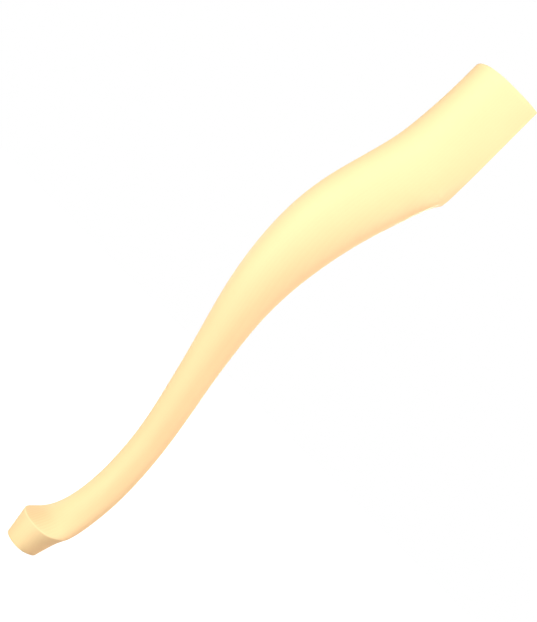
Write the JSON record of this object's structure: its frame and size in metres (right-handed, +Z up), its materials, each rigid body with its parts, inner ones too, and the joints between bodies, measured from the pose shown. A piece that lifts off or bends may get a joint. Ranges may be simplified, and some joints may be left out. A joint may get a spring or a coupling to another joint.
{
  "type": "curved furniture leg",
  "caption": "S-curved wooden furniture leg: square inner post with two flat rail faces, rounded knee, slender ankle and small tapered foot.",
  "frame": {"origin": "middle of the sole, on the floor", "axes": "+Z up the leg; +X and +Y out of the two flat inner faces of the post, so the toe points to -X and -Y"},
  "size_m": [0.1155, 0.1155, 0.71],
  "materials": {
    "pale_wood": "smooth sanded, unfinished pale wood"
  },
  "bodies": {
    "root": {"leg": "pale_wood"}
  },
  "joints": []
}
